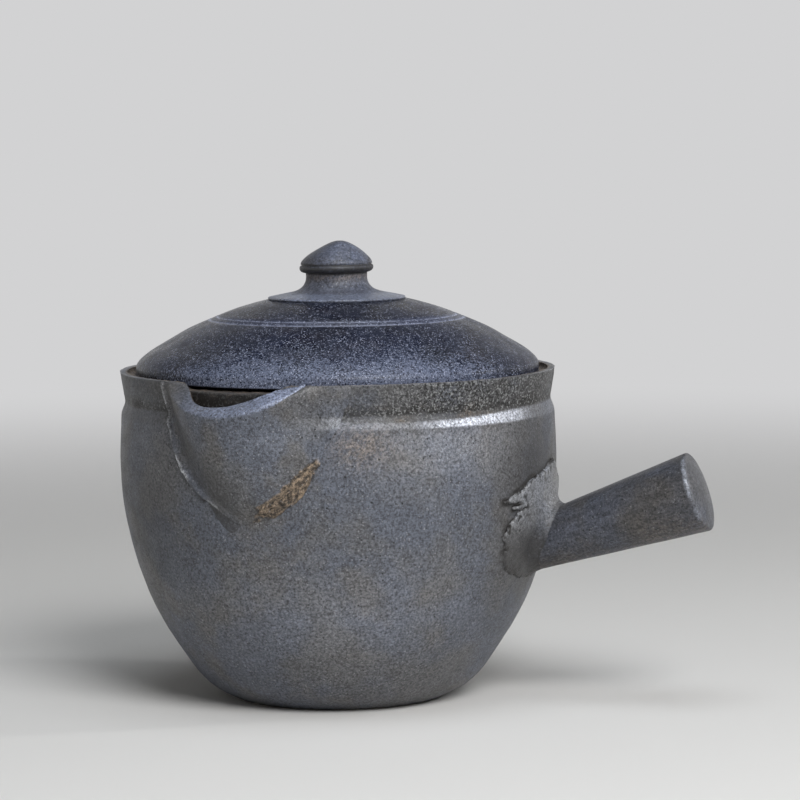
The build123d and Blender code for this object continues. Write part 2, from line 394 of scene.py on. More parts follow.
def cone(p, inset=0.0):
    """Distance out from the spout's cone."""
    flat = p - spout_out * SPOUT_AXIS
    size = TIP_RADIUS - inset - (TIP_HEIGHT - p[:, 2]) * SPOUT_FLARE
    return (radius_of(flat) - size) / math.hypot(1, SPOUT_FLARE)


def channel(p):
    """Distance out from the spout's channel, whose wall is thicker beside the lip."""
    flat = p - spout_out * SPOUT_AXIS
    turn = np.degrees(np.arctan2(flat @ spout_side, flat @ spout_out))
    return cone(p, np.interp(turn, *np.array(LIP_WALLS).T))


def lip(p):
    """Height above the lip's sloping plane."""
    s, c = math.sin(math.radians(LIP_SLOPE)), math.cos(math.radians(LIP_SLOPE))
    out = p @ spout_out - (SPOUT_AXIS + TIP_RADIUS)
    return out * s + (p[:, 2] - TIP_HEIGHT) * c


def pot_field(p):
    clay = shell(radius_of(p), p[:, 2])
    sill = np.abs(p[:, 2] - (SILL_HEIGHT + WINDOW_HEIGHT) / 2) - (SILL_HEIGHT - WINDOW_HEIGHT) / 2
    sill = sill + 0.25 * noise(p, 2.5, 6)
    clay = smooth_max(clay, smooth_min(0.1 - channel(p), sill, 0.8), 1.0)
    above = smooth_max(-lip(p), cone(p, -1.5), 1.0)
    clay = smooth_max(clay, -above, 1.2)
    wear_and_highlight = smooth_step(139, 142, p[:, 2])
    return clay + wear_and_highlight * (0.12 + 0.12 * noise(p, 3.0, 3) + 0.08 * noise(p, 1.4, 4))


def spout_field(p):
    clay = smooth_max(cone(p), -channel(p), 0.8)
    clay = smooth_max(clay, lip(p) + 0.2 * noise(p, 8.0, 5), 1.1)
    return np.maximum(clay, -(wall(p) + 0.8))


# Edge of the clay pressed round the spout: bearing in degrees, height; and of a crumbly patch on it
SPOUT_SEAM = [
    (-123.5, 146), (-122.3, 134), (-120.9, 125.2), (-118.7, 117.1), (-116.0, 107.0), (-112.8, 101.1),
    (-108.7, 95.3), (-104.7, 91.4), (-102.3, 88.9), (-98.1, 85.0), (-93.6, 86.0), (-89.1, 88.0),
    (-84.6, 93.0), (-79.4, 102.3), (-76.8, 111.1), (-75.0, 119.3), (-71.8, 127.3), (-69.5, 136), (-68.5, 146),
]
CRUMBS = [
    (-93.4, 88.6), (-91.4, 93.4), (-88.1, 97.3), (-85.0, 101.6), (-82.1, 106.2), (-80.1, 109.1),
    (-77.4, 112.6), (-77.0, 110.7), (-78.7, 104.4), (-80.3, 98.6), (-81.6, 94.6), (-84.4, 92.4),
    (-86.2, 90.1), (-88.3, 87.4), (-90.7, 87.8)]
SPOUT_TURN = -96.0
ARC = math.radians(1) * 94.5


def on_wall(p, bearing):
    """Millimetres round the wall from a bearing."""
    turn = np.degrees(np.arctan2(p[:, 1], p[:, 0])) - bearing
    return (turn + 180) % 360 * ARC - 180 * ARC


def wall_plan(edge, bearing):
    """The distance on the wall to an edge that is given by bearings and heights."""
    line = np.array([((b - bearing) * ARC, z) for b, z in edge])
    return Plan(line, line.min(0) - 12, line.max(0) + 12)


seam_plan = wall_plan(SPOUT_SEAM, SPOUT_TURN)
crumb_plan = wall_plan(CRUMBS, SPOUT_TURN)


def crumbs(p):
    """How far points are inside the crumbly patch, with a ragged edge."""
    edge = -crumb_plan(on_wall(p, SPOUT_TURN), p[:, 2])
    return edge + 0.9 * noise(p, 2.2, 11) + 0.5 * noise(p, 1.1, 12)


def seam_depth(p):
    """How far points are inside the edge of the clay round the spout."""
    return -seam_plan(on_wall(p, SPOUT_TURN), p[:, 2]) + 0.45 * noise(p, 3.5, 21) + 0.2 * noise(p, 1.3, 24)


def folded(p):
    """1 on the spout's left, where the clay ends in a fold, and 0 where it is smoothed out."""
    return smooth_step(4, -14, on_wall(p, SPOUT_TURN))


def spout_luting_field(p):
    inside, left = seam_depth(p), folded(p)
    fold = 1.0 * smooth_step(-0.2, 0.5, inside) - 0.75 * smooth_step(0.8, 2.4, inside)
    web = np.where(inside > 0, np.minimum(0.15 * inside**2 / (inside + 3.0), 1.9), 0.7 * inside)
    near_collar = (1 - left) * smooth_step(114, 126, p[:, 2])
    web = np.where(inside > 0, web * (1 - 0.75 * near_collar), web)
    thick = left * np.where(inside > -0.2, fold, 3.0 * (inside + 0.2)) + (1 - left) * web
    thick = np.maximum(thick, -1.6)
    rough = smooth_step(-0.4, 0.9, crumbs(p))
    broken = 0.45 + 0.75 * np.abs(noise(p, 2.6, 14)) + 0.35 * noise(p, 1.2, 13)
    pressed = 0.20 * noise(p, 7.0, 22) + 0.10 * noise(p, 3.0, 23)
    round_spout = cone(p, 0.08 * np.clip(wall(p), 0, 14) - 0.4)
    flare = 2.5 * left + 12.5 * (1 - left) * (1 - 0.45 * near_collar)
    fillet = 0.5 + flare * smooth_step(-1.5, 8.0, inside)
    clay = smooth_min(wall(p) - thick - rough * broken, round_spout, fillet)
    clay = clay + pressed * (1 - rough) * smooth_step(-2.0, 3.0, inside)
    clay = np.maximum(clay, -(wall(p) + 1.3))
    clay = np.maximum(clay, -(cone(p) + 1.6))
    clay = smooth_max(clay, lip(p) + 0.5, 1.2)
    clay = smooth_max(clay, p[:, 2] - (POT_HEIGHT - 0.2), 1.2)
    return np.maximum(clay, wall(p) - 15.0)


handle_dir = np.array([math.cos(math.radians(HANDLE_RISE)), 0, math.sin(math.radians(HANDLE_RISE))])
handle_up = np.array([-handle_dir[2], 0, handle_dir[0]])
TAPER = (HANDLE_END - HANDLE_ROOT) / HANDLE_LENGTH


def handle_cone(p, inset=0.0):
    """Distance out from the handle's cone."""
    q = p - np.array(HANDLE_FOOT)
    along = q @ handle_dir
    return np.hypot(q[:, 1], q @ handle_up) - (HANDLE_ROOT - inset + TAPER * along)


# Edge of the clay pressed round the handle's root
HANDLE_SEAM = [
    (2.0, 104.6), (-0.6, 103.2), (-5.4, 100.4), (-13.4, 98.4), (-16.8, 95.5), (-21.2, 92.8), (-25.4, 90.1),
    (-21.5, 89.8), (-18.2, 89.2), (-21.9, 86.7), (-16.0, 86.5), (-20.3, 82.9), (-22.2, 80.7), (-22.5, 77.7),
    (-23.6, 74.6), (-22.9, 71.3), (-22.0, 65.1), (-19.4, 59.4), (-12.0, 55.8), (-4.0, 54.6), (5.0, 54.8),
    (13.0, 56.6), (19.0, 60.5), (22.5, 66.0), (23.8, 72.5), (21.6, 78.0), (25.4, 83.0), (22.0, 89.0),
    (16.0, 93.5), (11.5, 95.5), (7.0, 98.0), (4.6, 101.0)]
handle_plan = wall_plan(HANDLE_SEAM, 0.0)


def root_shade(p):
    """Painted shade on the underside of the handle's root and on the wall round it."""
    return 0.55 * np.exp(-(on_wall(p, 0.0) / 46)**2 - ((p[:, 2] - 58) / 19)**2)


def root_depth(p):
    """How far points are inside the edge of the clay round the handle's root."""
    return -handle_plan(on_wall(p, 0.0), p[:, 2]) + 0.6 * noise(p, 2.8, 31) + 0.6 * noise(p, 1.15, 32)


def handle_luting_field(p):
    along, inside = on_wall(p, 0.0), root_depth(p)
    full = 0.35 + 0.75 * smooth_step(60, 78, p[:, 2])
    thick = np.where(inside > 0, full * smooth_step(-0.5, 0.8, inside) + 0.02 * inside, 2.0 * inside)
    fin = np.exp(-((p[:, 2] - 86.0) / 11.0)**2 - ((along - 3.0) / 7.0)**2)
    thick = np.maximum(thick + 1.1 * fin, -1.6)
    pressed = 0.22 * noise(p, 6.0, 33) + 0.12 * noise(p, 2.2, 34)
    above = smooth_step(62, 84, p[:, 2])
    round_root = handle_cone(p, 0.20 * np.clip(wall(p), 0, 14) - 0.5)
    fillet = 0.5 + (3.5 + 4.5 * above) * smooth_step(-1.0, 4.0, inside)
    clay = smooth_min(wall(p) - thick, round_root, fillet) + pressed
    clay = np.maximum(clay, -(wall(p) + 1.3))
    clay = np.maximum(clay, -(handle_cone(p) + 1.8))
    return np.maximum(clay, wall(p) - 11.0)


# ---- Pot body ----

# Two guide lines, outside and inside the wall, between which the grid for its surface is spun
outside = np.vstack([(0, -1.8), curve([
    (49.8, -1.8), (59.5, 4.5), (72, 18.5), (84, 38.5), (92, 61), (96.4, 82), (97.3, 107)], 1.0), (97.3, 146)])
within = np.vstack([(0, FLOOR + 2.2), curve([
    (39, FLOOR + 2.2), (49.5, 13.5), (61.5, 27), (73, 46), (81.2, 66), (86, 85), (87.6, 107),
    (86.4, 124)], 1.0), (81.4, 134), (81.4, 146)])


def matched(line, marks, counts):
    """Points on a line, evenly spread between marks at given heights or radii along it."""
    at = distances(line)
    at /= at[-1]
    found = [0.0]
    for axis, value in marks:
        k = np.argmax(line[:, axis] >= value)
        found.append(at[k])
    found.append(1.0)
    runs = [np.linspace(a, b, n, endpoint=False) for a, b, n in zip(found, found[1:], counts)]
    shares = np.concatenate([*runs, [1.0]])
    return np.c_[np.interp(shares, at, line[:, 0]), np.interp(shares, at, line[:, 1])]


# Points along the guide lines, and bearings in degrees: a fine stretch at the spout, and coarse ones
COUNTS = (11, 14, 26, 38, 44)
FINE_SIDE, FINE_STEP, COARSE_COUNT = 30, 0.34, 136
outer_rail = matched(spaced(outside, 1.0), [(0, 36), (1, 12), (1, 60), (1, 120)], COUNTS)
inner_rail = matched(spaced(within, 1.0), [(0, 33), (1, 14), (1, 60), (1, 120)], COUNTS)
across = np.linspace(0, 1, 24)
section = inner_rail[:, None] + (outer_rail - inner_rail)[:, None] * across[None, :, None]
fine = np.arange(-FINE_SIDE, FINE_SIDE + 0.01, FINE_STEP)
coarse = np.linspace(FINE_SIDE, 360 - FINE_SIDE, COARSE_COUNT)[1:-1]
bearings = np.radians(SPOUT_BEARING + np.r_[fine, coarse])
pot_grid = np.stack([
    section[None, :, :, 0] * np.cos(bearings)[:, None, None],
    section[None, :, :, 0] * np.sin(bearings)[:, None, None],
    np.repeat(section[None, :, :, 1], len(bearings), axis=0)], axis=-1)
points, faces = surface(pot_grid, pot_field, wrap=True)
points[:, 2] = np.maximum(points[:, 2], 0.0)
grow = slope(points, pot_field)
rings = noise(np.c_[points[:, 2] + 0.6 * noise(points, 60.0, 41), 0.01 * points[:, 0]], 3.4, 42)
hand = 0.16 * (noise(points, 38.0, 43) - 1) + 0.07 * (rings - 1) + 0.06 * (noise(points, 6.0, 44) - 1)
level = points[:, 2] < 0.4
hand[level] = 0
points = points + grow * hand[:, None]
points[:, 2] = np.clip(points[:, 2], 0, POT_HEIGHT)
height = points[:, 2]
on_outside = smooth_step(-0.9, -0.3, wall(points))
behind_lip = smooth_step(0.8, -0.4, channel(points))
# Painted shadow on the wall just outside the edges of the clay pressed round the spout and round the handle's
# root.
seam_edge_shadow = smooth_step(-1.3, -0.5, seam_depth(points)) * (0.15 + 0.85 * folded(points))
seam_edge_shadow += 1.5 * smooth_step(-2.2, -0.4, root_depth(points)) * smooth_step(56, 66, height)
seam_edge_shadow = on_outside * seam_edge_shadow * smooth_step(-0.5, 0.3, noise(points, 3.0, 46))
bearing = np.degrees(np.arctan2(points[:, 1], points[:, 0]))
scorch = smooth_step(-70, -38, bearing) * smooth_step(35, 0, bearing) * smooth_step(129, 131, height)
bevel = height + 2.6 * smooth_step(-4, -46, bearing) * smooth_step(-100, -60, bearing)
# Painted shade under the collar, where the neck tucks in; the same band also holds reddish stains.
under_collar = smooth_step(128.8, 130.0, bevel) * smooth_step(135.5, 130.5, height)
shade_and_scorch = np.clip(seam_edge_shadow + on_outside * (0.5 * under_collar + 0.05 * scorch), 0, 1.5)
scorch = np.clip(on_outside * (scorch + 0.25 * smooth_step(129, 131, height) + 0.35 * under_collar), 0, 1)
# Painted highlight on the bevel band below the collar, strongest towards the right.
bevel_highlight = on_outside * smooth_step(123.6, 124.4, height) * smooth_step(130.1, 129.1, bevel)
bevel_highlight = bevel_highlight * (0.03 + 0.09 * smooth_step(-105, -60, bearing) * smooth_step(5, -20, bearing)
               + 1.1 * np.exp(-((bearing + 31) / 16)**4)
               + 0.09 * smooth_step(-25, -10, bearing) * smooth_step(30, 14, bearing))
bevel_highlight = bevel_highlight * (1 - behind_lip)
# Painted sheen on the upper body towards the right and on the lower front.
sheen = on_outside * smooth_step(124.0, 122.0, height) * (
    0.17 * np.exp(-((bearing + 42) / 20)**2 - ((height - 116) / 12)**2)
    + 0.11 * np.exp(-((bearing + 68) / 42)**2 - ((height - 45) / 20)**2))
shade = 0.9 * on_outside * np.exp(-((bearing + 10) / 15)**2 - ((height - 102) / 28)**2)
left_side = on_outside * np.exp(-((bearing + 136) / 22)**2)
shade += left_side * smooth_step(45, 75, height) * (0.45 - 0.2 * smooth_step(90, 110, height))
shade += 0.4 * left_side * smooth_step(123, 125, height) * smooth_step(131, 129, height)
# Darker over the collar above the neck.
collar_darkening = on_outside * smooth_step(129.2, 130.2, height) * (0.32 + 0.18 * noise(points, 6.0, 48))
rim_edge = smooth_step(142.0, 142.7, height) * on_outside
inner = 1 - smooth_step(-3.5, -1.5, wall(points)) * smooth_step(0, 1, height)
stain = 0.55 * on_outside * under_collar * smooth_step(0.1, 0.6, noise(points, 9.0, 47))
stain += 0.5 * on_outside * np.exp(-((bearing + 66) / 7)**2 - ((height - 117) / 8)**2)
# The dark mark: painted shadow along the seams, painted shade under the collar, on the body's sides, behind
# the spout's lip and under the handle's root, the collar darkening, and a little scorch.
shade_and_scorch = shade_and_scorch + shade + collar_darkening + 0.6 * behind_lip + root_shade(points)
pot_body = piece("pot_shell", points, faces, "pot", "pot_body", {
    "pale": np.clip(bevel_highlight + sheen + 0.3 * rim_edge, 0, 1), "dark": np.clip(shade_and_scorch, 0, 1.5), "scorch": scorch,
    "brown": np.clip(stain + np.maximum(0.8 * inner, 0.5 * behind_lip), 0, 1)})

# ---- Spout, and the clay round it ----

points, faces = surface(block((80, -36, 80), (111, 36, 145), 0.62, SPOUT_BEARING), spout_field)
grow = slope(points, spout_field)
points = points + grow * (0.14 * (noise(points, 9.0, 51) - 1) + 0.05 * noise(points, 3.0, 52))[:, None]
lip_face = smooth_step(-1.6, -0.5, lip(points))
in_channel = smooth_step(-1.0, -3.0, cone(points)) * (1 - lip_face)
flat = points - spout_out * SPOUT_AXIS
lip_turn = np.degrees(np.arctan2(flat @ spout_side, flat @ spout_out))
# The lip face is painted paler towards the right, a painted highlight, and darker towards the left, painted
# shade; the channel is painted darker, as shade, and browner.
spout = piece("spout_beak", points, faces, "pot", "spout", {
    "pale": lip_face * (0.02 + 0.46 * smooth_step(-60, 5, lip_turn) + 0.6 * smooth_step(15, 60, lip_turn)),
    "dark": 0.3 * in_channel + 0.3 * lip_face * smooth_step(-15, -60, lip_turn),
    "brown": 0.8 * in_channel})

points, faces = surface(block((60, -58, 78), (106, 58, 144.5), 0.58, SPOUT_TURN), spout_luting_field)
inside, left, height = seam_depth(points), folded(points), points[:, 2]
# Painted light on the clay round the spout: a painted highlight on the fold's ridge, painted shade in the
# valley beside the spout, a painted shadow along the fold's edge, the bevel's painted highlight, a painted
# light patch on the spout's front, and darker towards the bottom.
fold = left * smooth_step(0.0, 0.45, inside) * smooth_step(1.7, 0.9, inside)
fold = fold * smooth_step(-0.6, 0.1, noise(points, 5, 53))
valley = left * smooth_step(2.0, 5.0, inside) * smooth_step(4.0, 0.5, cone(points))
valley = valley * smooth_step(8.0, 3.0, wall(points))
edge = smooth_step(0.4, -0.3, inside)
rough = smooth_step(-0.6, 0.6, crumbs(points))
bits = smooth_step(0.45, 0.7, noise(points, 4.5, 54)) * smooth_step(94, 88, height) * 0.8
skin = smooth_step(2.4, 0.8, wall(points)) * smooth_step(9.0, 1.0, inside)
bevel_highlight = skin * smooth_step(124.2, 125.6, height) * smooth_step(130.4, 128.6, height) * (0.1 + 0.2 * (1 - left))
wear_and_highlight = 0.04 * np.exp(-(on_wall(points, -98.0) / 16)**2 - ((height - 108) / 12)**2)
low = 0.25 * smooth_step(104, 92, height)
spout_luting = piece("spout_seam", points, faces, "pot", "spout_luting", {
    "pale": np.clip(0.9 * fold + bevel_highlight + wear_and_highlight, 0, 1),
    "dark": np.clip(0.6 * valley + 0.5 * edge * left + low, 0, 1),
    "brown": np.clip(rough + bits, 0, 1)})

# ---- Handle, and the clay round its root ----


def handle_points():
    """The handle's skin, from a ring sunk in the wall out to the domed end."""
    angles = circle(132)
    side = np.outer(np.sin(angles), [0, 1, 0]) + np.outer(np.cos(angles), handle_up)
    foot = np.array(HANDLE_FOOT)
    start = np.zeros(len(angles))
    for _ in range(12):
        radius = (HANDLE_ROOT + TAPER * start)[:, None]
        at = foot + handle_dir * start[:, None] + side * radius
        start = start - (wall(at) + HANDLE_SUNK)
    rows = []
    end, edge = HANDLE_LENGTH - END_ROUND, HANDLE_END - END_CUT
    for share in np.linspace(0, 1, 96):
        along = start + (end - start) * share
        rows.append(foot + handle_dir * along[:, None] + side * (HANDLE_ROOT + TAPER * along)[:, None])
    for turn in np.radians([18, 36, 54, 72, 88]):
        along, radius = end + END_ROUND * math.sin(turn), edge + END_ROUND * math.cos(turn)
        rows.append(foot + handle_dir * along + side * radius)
    for radius in np.linspace(edge, 0.6, 22)[1:]:
        along = HANDLE_LENGTH + HANDLE_CROWN * (1 - (radius / edge)**2)
        rows.append(foot + handle_dir * along + side * radius)
    ring = np.array(rows).reshape(-1, 3)
    tip = foot + handle_dir * (HANDLE_LENGTH + HANDLE_CROWN)
    points = np.vstack([foot + handle_dir * start.mean(), ring, tip])
    return points, ring_faces(len(rows), len(angles), flip=True)


points, faces = handle_points()
own_axes = np.array([handle_dir, [0, 1, 0], handle_up])
local = (points - np.array(HANDLE_FOOT)) @ own_axes.T
out = local * [0, 1, 1]
out /= np.maximum(np.linalg.norm(out, axis=1), 0.5)[:, None]
flats = noise(np.c_[local[:, 0] * 0.10, local[:, 1:]], 9.0, 61) - 1
streaks = noise(np.c_[local[:, 0] * 0.08, local[:, 1:]], 2.2, 62) - 1
lumps = noise(local, 14.0, 63) - 1
local = local + out * (0.20 * flats + 0.07 * streaks + 0.12 * lumps)[:, None]
face = smooth_step(HANDLE_LENGTH - 0.6, HANDLE_LENGTH + 0.4, local[:, 0])
local[:, 0] += face * (0.12 * (noise(local, 5.0, 64) - 1))
points = local @ own_axes + np.array(HANDLE_FOOT)
crease = smooth_step(HANDLE_LENGTH - 2.2, HANDLE_LENGTH - 1.2, local[:, 0]) * (1 - face)
low_side = smooth_step(2, -14, local[:, 2]) * smooth_step(-0.4, 0.4, noise(points, 16.0, 65))
rubbed = 0.8 * crease * smooth_step(-0.3, 0.5, noise(points, 8.0, 66))
handle = piece("handle_stub", points, faces, "pot", "handle", {
    "pale": np.clip(0.1 * face + rubbed, 0, 1),
    "dark": 0.5 * smooth_step(22, 4, local[:, 0]) * smooth_step(-0.3, 0.6, noise(points, 7.0, 67)),
    "brown": 0.16 * low_side * (1 - face)})

points, faces = surface(block((76, -47, 51), (106, 47, 107), 0.6), handle_luting_field)
inside = root_depth(points)
on_handle = smooth_step(1.0, 8.0, wall(points))
low = smooth_step(88, 66, points[:, 2])
skin = 1 - on_handle
edge = skin * smooth_step(1.1, -0.2, inside) * smooth_step(-0.3, 0.6, noise(points, 2.6, 35))
pits = skin * smooth_step(0.25, 0.5, noise(points, 1.7, 36)) * smooth_step(7.0, 1.0, inside)
# Darker towards the bottom, painted shade under the handle, and paler on the upper part.
handle_luting = piece("handle_seam", points, faces, "pot", "handle_luting", {
    "pale": 0.34 * skin * (1 - low),
    "dark": np.clip(1.5 * edge + pits + 0.25 * on_handle + 0.45 * low + root_shade(points), 0, 1.5),
    "brown": np.zeros(len(points))})

# ---- Lid ----


def dome(edge, low, top, high):
    points = [(edge, low)] + [(edge - run * (edge - top), low + up * (high - low)) for run, up in DOME_SHARES]
    return curve(points + [(top, high)])


upper = dome(LID_RADIUS, LID_EDGE, KNOB_FOOT, KNOB_SEAT)
for radius in GROOVES:
    fine = np.linspace(radius + GROOVE_REACH, radius - GROOVE_REACH, 19)
    keep = np.abs(upper[:, 0] - radius) > GROOVE_REACH + 0.05
    height = np.interp(fine, upper[::-1, 0], upper[::-1, 1])
    dip = GROOVE_DEPTH * np.clip(1 - (np.abs(fine - radius) / (GROOVE_WIDTH / 2))**2, 0, 1)
    cut = np.c_[fine, height - dip]
    upper = np.vstack([upper[keep & (upper[:, 0] > radius)], cut, upper[keep & (upper[:, 0] < radius)]])
under = dome(LID_INNER, LID_EDGE, KNOB_FOOT, KNOB_SEAT - LID_WALL)[::-1]
lid_line = outline(
    (0, KNOB_SEAT - LID_WALL, 0), (KNOB_FOOT, KNOB_SEAT - LID_WALL, 3.0), under[4:-3],
    (LID_INNER, LEDGE_HEIGHT, 0.9), (LID_RADIUS, LEDGE_HEIGHT, 1.0), (LID_RADIUS, LID_EDGE - 0.3, 1.4),
    upper[5:], (0, KNOB_SEAT, 0))
lid_rows = spaced(lid_line, 1.5)
angles = circle(288)
points, faces = turned(lid_rows, angles)
push, turn = turned_outward(lid_rows, angles, points)
hand = 0.14 * (noise(points, 30.0, 71) - 1) + 0.05 * (noise(points, 7.0, 72) - 1)
hand += 0.04 * (noise(np.c_[radius_of(points), 0.02 * points[:, 0]], 2.6, 73) - 1)
hand[points[:, 2] < LEDGE_HEIGHT + 0.5] = 0
points = points + push * hand[:, None]
# The grooves' lines are painted paler: a painted highlight on their walls.
ring = np.zeros(len(points))
for radius in GROOVES:
    ring += np.exp(-((radius_of(points) - radius) / 0.6)**2) * (points[:, 2] > LID_EDGE + 6)
# Painted sheen on the lower part of the dome, strongest on the side towards the lamps.
low_edge = np.clip((169 - points[:, 2]) / 24, 0, 1) * (0.88 + 0.12 * noise(points, 9.0, 74))
low_edge *= 0.1 + 0.9 * smooth_step(0.2, 0.97, np.cos(turn + math.radians(72)))
lid = piece("lid_dome", points, faces, "lid", "lid", {
    "pale": np.clip(ring, 0, 1), "wear_and_highlight": np.clip(low_edge, 0, 1)})

# ---- Knob ----

seat = KNOB_SEAT
neck = curve([(18.6, seat + 3.2), (15.4, seat + 5.0), (13.6, seat + 8.0), (13.5, seat + 11.2)], 0.3)
ring = curve([(13.5, seat + 11.2), (15.2, seat + 11.7), (16.2, seat + 13.1), (16.1, seat + 14.2)], 0.2)
cap = curve([
    (15.75, seat + 15.1), (15.5, seat + 16.1), (14.5, seat + 17.5), (10.9, seat + 20.5), (6.5, seat + 23.2),
    (3.3, seat + 24.7), (1.2, seat + 25.25), (0.0, seat + 25.3)], 0.3)
knob_line = outline(
    (0, seat - 0.4, 0), (KNOB_FOOT, seat - 0.4, 0), (KNOB_FOOT, seat + 0.9, 0.5), (18.6, seat + 3.2, 2.0),
    neck[4:], ring[1:], np.array([(15.75, seat + 14.55), (15.25, seat + 14.78)]), cap)
knob_rows = spaced(knob_line, 0.8)
angles = circle(160)
points, faces = turned(knob_rows, angles)
push, turn = turned_outward(knob_rows, angles, points)
hand = 0.10 * (noise(points, 8.0, 81) - 1) + 0.04 * (noise(points, 3.0, 82) - 1)
points = points + push * hand[:, None]
lean = 1.5 * smooth_step(seat + 15.5, seat + 25.0, points[:, 2])
points = points + lean[:, None] * [0.956, 0.292, 0]
up = points[:, 2] - seat
points[:, 2] += 0.018 * points[:, 0] * smooth_step(10, 12, up) * smooth_step(20, 16, up)
up = points[:, 2] - seat
ring = smooth_step(10.2, 11.2, up) * smooth_step(15.2, 13.4, up)
line = np.exp(-((up - 14.8) / 0.45)**2)
foot = smooth_step(0.6, -0.1, up)
tip = smooth_step(2.6, 1.2, np.hypot(points[:, 0] - 1.4, points[:, 1])) * (up > 20)
away = smooth_step(14, 16, up) * smooth_step(0.3, 0.95, np.cos(turn + math.radians(155)))
# Painted light on the knob: the cap's top and the boss are paler, a painted highlight; the cap's underside,
# its incised line, the foot and the cap's side turned away are darker, painted shade.
knob = piece("knob_turned", points, faces, "lid", "lid_knob", {
    "pale": 0.15 * smooth_step(16.4, 20.0, up) + 0.5 * smooth_step(3.4, 2.0, up),
    "dark": np.clip(0.95 * ring + line + 0.8 * foot + 0.4 * tip + 0.5 * away, 0, 1),
    "brown": 0.3 * smooth_step(6.5, 10.0, up) * smooth_step(12.5, 11.0, up)})


# ---- Materials ----

def linear(r, g, b):
    """A colour given as it looks on a screen, 0 to 255, in the renderer's own scale."""
    shares = [c / 255 for c in (r, g, b)]
    return (*(c / 12.92 if c <= 0.04045 else ((c + 0.055) / 1.055)**2.4 for c in shares), 1)


class Clay:
    """Builds one material's nodes."""

    def __init__(self, name, roughness, specular):
        self.made = bpy.data.materials.new(name)
        self.made.use_nodes = True
        self.tree = self.made.node_tree
        self.shader = self.tree.nodes["Principled BSDF"]
        self.shader.inputs["Roughness"].default_value = roughness
        self.shader.inputs["Specular IOR Level"].default_value = specular
        self.place = self.tree.nodes.new("ShaderNodeTexCoord").outputs["Object"]

    def put(self, socket, value):
        if isinstance(value, bpy.types.NodeSocket):
            self.tree.links.new(value, socket)
        else:
            socket.default_value = value

    def stretched(self, scale, turn=(0, 0, 0)):
        """The object's own coordinates, turned and then scaled along each axis."""
        back = self.tree.nodes.new("ShaderNodeMapping")
        back.vector_type = "POINT"
        back.inputs["Rotation"].default_value = turn
        self.put(back.inputs["Vector"], self.place)
        scaled = self.tree.nodes.new("ShaderNodeMapping")
        scaled.inputs["Scale"].default_value = scale
        self.put(scaled.inputs["Vector"], back.outputs["Vector"])
        return scaled.outputs["Vector"]

    def noise(self, size, detail=2.0, rough=0.5, place=None, shift=0.0):
        """A noise with lumps of a size in millimetres."""
        n = self.tree.nodes.new("ShaderNodeTexNoise")
        n.noise_dimensions = "4D"
        n.inputs["W"].default_value = shift
        n.inputs["Scale"].default_value = 1 / (size * MM)
        n.inputs["Detail"].default_value = detail
        n.inputs["Roughness"].default_value = rough
        self.put(n.inputs["Vector"], place or self.place)
        return n.outputs["Fac"]

    def cells(self, size, what="Distance"):
        """Grains of a size in millimetres: the distance from their middles, or a colour each."""
        n = self.tree.nodes.new("ShaderNodeTexVoronoi")
        n.inputs["Scale"].default_value = 1 / (size * MM)
        self.put(n.inputs["Vector"], self.place)
        return n.outputs[what]

    def ramp(self, value, low, high, start=0.0, end=1.0):
        """Value between low and high taken to start and end, and held beyond."""
        n = self.tree.nodes.new("ShaderNodeMapRange")
        n.interpolation_type = "SMOOTHSTEP"
        for socket, number in zip(("From Min", "From Max", "To Min", "To Max"), (low, high, start, end)):
            n.inputs[socket].default_value = number
        self.put(n.inputs["Value"], value)
        return n.outputs["Result"]

    def math(self, kind, a, b=0.0):
        n = self.tree.nodes.new("ShaderNodeMath")
        n.operation = kind
        self.put(n.inputs[0], a)
        self.put(n.inputs[1], b)
        return n.outputs[0]

    def mix(self, share, a, b, blend="MIX"):
        n = self.tree.nodes.new("ShaderNodeMix")
        n.data_type = "RGBA"
        n.blend_type = blend
        self.put(n.inputs["Factor"], share)
        self.put(n.inputs[6], a)
        self.put(n.inputs[7], b)
        return n.outputs[2]

    def grey(self, value):
        n = self.tree.nodes.new("ShaderNodeCombineColor")
        for k in range(3):
            self.put(n.inputs[k], value)
        return n.outputs[0]

    def mark(self, name):
        n = self.tree.nodes.new("ShaderNodeAttribute")
        n.attribute_name = name
        return n.outputs["Fac"]

    def height(self, axis):
        n = self.tree.nodes.new("ShaderNodeSeparateXYZ")
        self.put(n.inputs[0], self.place)
        return n.outputs[axis]

    def bump(self, height, depth, before=None):
        """Relief of a depth in millimetres on top of the relief before it."""
        n = self.tree.nodes.new("ShaderNodeBump")
        n.inputs["Strength"].default_value = 1.0
        n.inputs["Distance"].default_value = depth * MM
        self.put(n.inputs["Height"], height)
        if before is not None:
            self.put(n.inputs["Normal"], before)
        return n.outputs["Normal"]

    def finish(self, colour, relief, roughness):
        for socket, value in (("Base Color", colour), ("Normal", relief), ("Roughness", roughness)):
            self.put(self.shader.inputs[socket], value)
        return self.made


CLAY_ROUGH = (0.38, 0.52)


